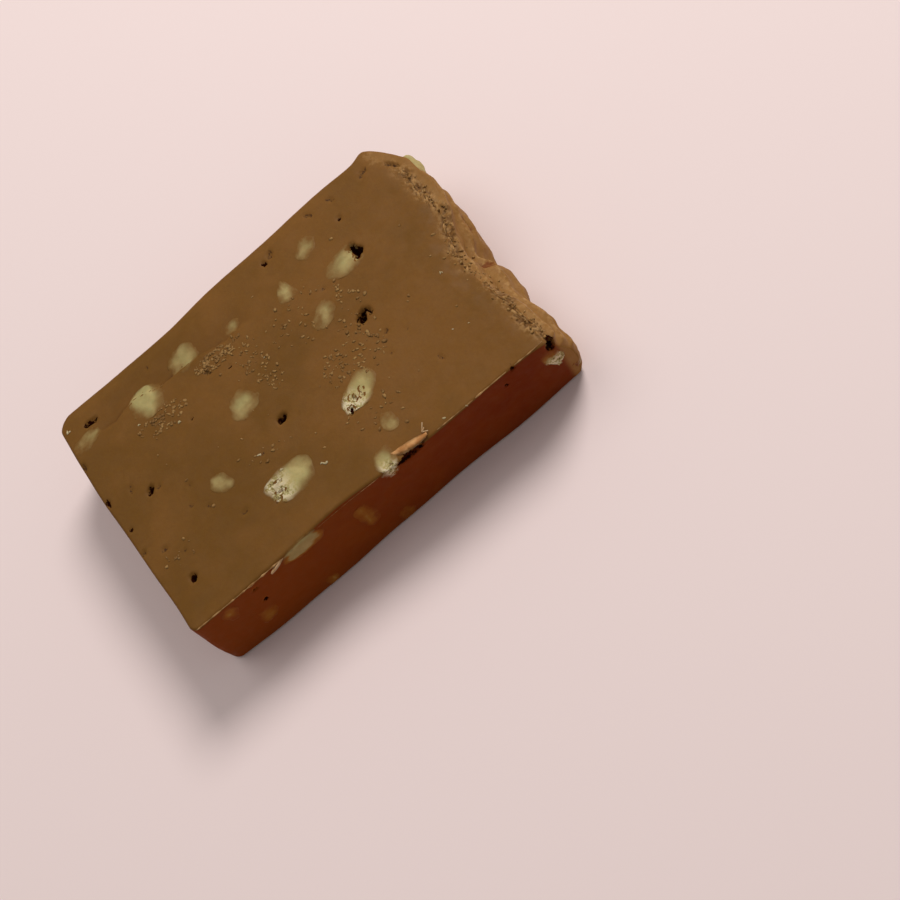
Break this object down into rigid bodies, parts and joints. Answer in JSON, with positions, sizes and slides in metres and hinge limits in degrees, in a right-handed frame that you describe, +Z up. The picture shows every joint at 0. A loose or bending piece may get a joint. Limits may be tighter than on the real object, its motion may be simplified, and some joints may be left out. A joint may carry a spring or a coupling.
{
  "type": "nut fudge slab",
  "caption": "Hand-cut rectangular slab of milk chocolate fudge with chopped nuts flush in its faces and a torn end.",
  "frame": {"origin": "middle of the bounding box's floor, on the slab's flat base", "axes": "+X along the slab's long side towards the torn end, +Y towards the back edge, +Z up out of the broad top face"},
  "size_m": [0.0796, 0.0534, 0.0172],
  "materials": {
    "fudge": "satin milk chocolate fudge, fine crumb at the torn end",
    "nut": "matt pale chopped nut, smeared with fudge at its rim"
  },
  "bodies": {
    "root": {"fudge_slab": "fudge", "nut_back_01": "nut", "nut_back_02": "nut", "nut_back_03": "nut", "nut_back_04": "nut", "nut_back_05": "nut", "nut_base_01": "nut", "nut_base_02": "nut", "nut_base_03": "nut", "nut_base_04": "nut", "nut_base_05": "nut", "nut_base_06": "nut", "nut_base_07": "nut", "nut_base_08": "nut", "nut_edge_01": "nut", "nut_edge_02": "nut", "nut_edge_03": "nut", "nut_front_01": "nut", "nut_front_02": "nut", "nut_front_03": "nut", "nut_front_04": "nut", "nut_front_05": "nut", "nut_front_06": "nut", "nut_left_01": "nut", "nut_left_02": "nut", "nut_left_03": "nut", "nut_proud": "nut", "nut_right_01": "nut", "nut_right_02": "nut", "nut_top_01": "nut", "nut_top_02": "nut", "nut_top_03": "nut", "nut_top_04": "nut", "nut_top_05": "nut", "nut_top_06": "nut", "nut_top_07": "nut", "nut_top_08": "nut", "nut_top_09": "nut", "nut_top_10": "nut", "nut_top_11": "nut", "nut_top_12": "nut", "nut_top_13": "nut"}
  },
  "joints": []
}
